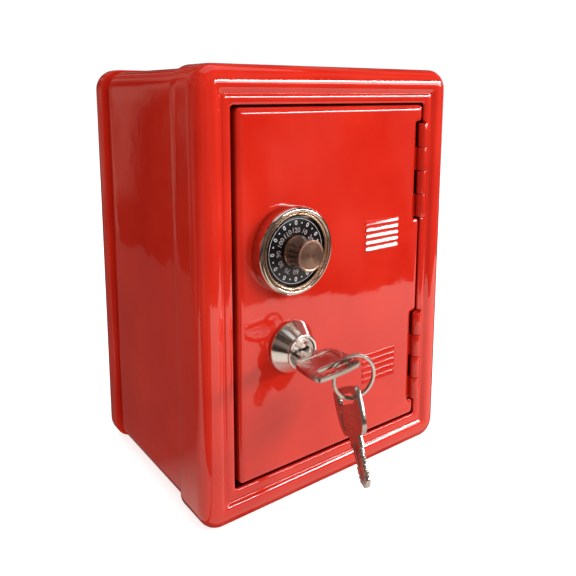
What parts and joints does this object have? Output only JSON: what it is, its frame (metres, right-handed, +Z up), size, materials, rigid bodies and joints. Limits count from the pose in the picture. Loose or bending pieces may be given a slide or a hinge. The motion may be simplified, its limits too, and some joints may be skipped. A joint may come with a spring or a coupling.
{
  "type": "toy safe coin bank",
  "caption": "Toy safe for coins: pressed steel cabinet with a slot on top, a hinged door with a turning number dial, and a cam lock with its key, a split ring and a spare key.",
  "frame": {"origin": "middle of the footprint of the whole object, keys included, on the surface that it stands on", "axes": "+Z up, the door faces -Y, +X to the right of somebody who faces the door"},
  "size_m": [0.132, 0.1402, 0.18],
  "materials": {
    "red_paint": "high gloss red enamel with slight orange peel",
    "chrome_trim": "bright chrome plate",
    "knob_chrome": "satin chrome with turned rings on its face",
    "key_nickel": "nickel plate, lightly worn",
    "zinc_steel": "zinc plated",
    "brass_parts": "plain",
    "dial_face": "gloss black with printed numbers"
  },
  "bodies": {
    "cabinet": {"front_frame": "red_paint", "body_sleeve": "red_paint", "rear_cover": "red_paint", "strike_plate": "zinc_steel", "upper_hinge_frame_leaf": "red_paint", "upper_hinge_pin": "red_paint", "lower_hinge_frame_leaf": "red_paint", "lower_hinge_pin": "red_paint"},
    "door": {"door_panel": "red_paint", "upper_hinge_door_leaf": "red_paint", "lower_hinge_door_leaf": "red_paint", "dial_bezel": "chrome_trim", "dial_bushing": "brass_parts", "click_spring": "zinc_steel", "dial_nut": "zinc_steel", "lock_body": "chrome_trim", "lock_washer": "zinc_steel", "lock_nut": "zinc_steel"},
    "dial": {"dial_disc": "dial_face", "dial_knob": "knob_chrome", "dial_spindle": "zinc_steel", "click_wheel": "brass_parts", "spindle_clip": "zinc_steel"},
    "lock_rotor": {"lock_plug": "chrome_trim", "lock_wafer_1": "brass_parts", "lock_wafer_2": "brass_parts", "lock_wafer_3": "brass_parts", "lock_wafer_4": "brass_parts", "lock_cam": "zinc_steel", "cam_washer": "zinc_steel", "cam_screw": "zinc_steel"},
    "key": {"key_in_lock": "key_nickel"},
    "ring": {"key_ring": "key_nickel"},
    "hanging_key": {"spare_key": "key_nickel"}
  },
  "joints": [
    {"name": "door_swing", "type": "hinge", "parent": "cabinet", "child": "door", "pos_m": [0.0502, -0.02996, 0.09], "axis": [0, 0, 1], "range_deg": [0, 150]},
    {"name": "dial_turn", "type": "hinge", "parent": "door", "child": "dial", "pos_m": [-0.0252, -0.03086, 0.1088], "axis": [0, -1, 0], "continuous": true},
    {"name": "lock_turn", "type": "hinge", "parent": "door", "child": "lock_rotor", "pos_m": [-0.0242, -0.03086, 0.0683], "axis": [0, 1, 0], "range_deg": [0, 90]},
    {"name": "key_withdraw", "type": "slide", "parent": "lock_rotor", "child": "key", "axis": [0, -1, 0], "range_m": [0, 0.018]},
    {"name": "ring_swing", "type": "hinge", "parent": "key", "child": "ring", "pos_m": [-0.01522, -0.05749, 0.06893], "axis": [0.2419, 0.9703, 0], "range_deg": [-18, 18]},
    {"name": "spare_key_swing", "type": "hinge", "parent": "ring", "child": "hanging_key", "pos_m": [-0.01522, -0.05749, 0.05448], "axis": [0.9703, -0.2419, 0], "range_deg": [-30, 30]}
  ]
}
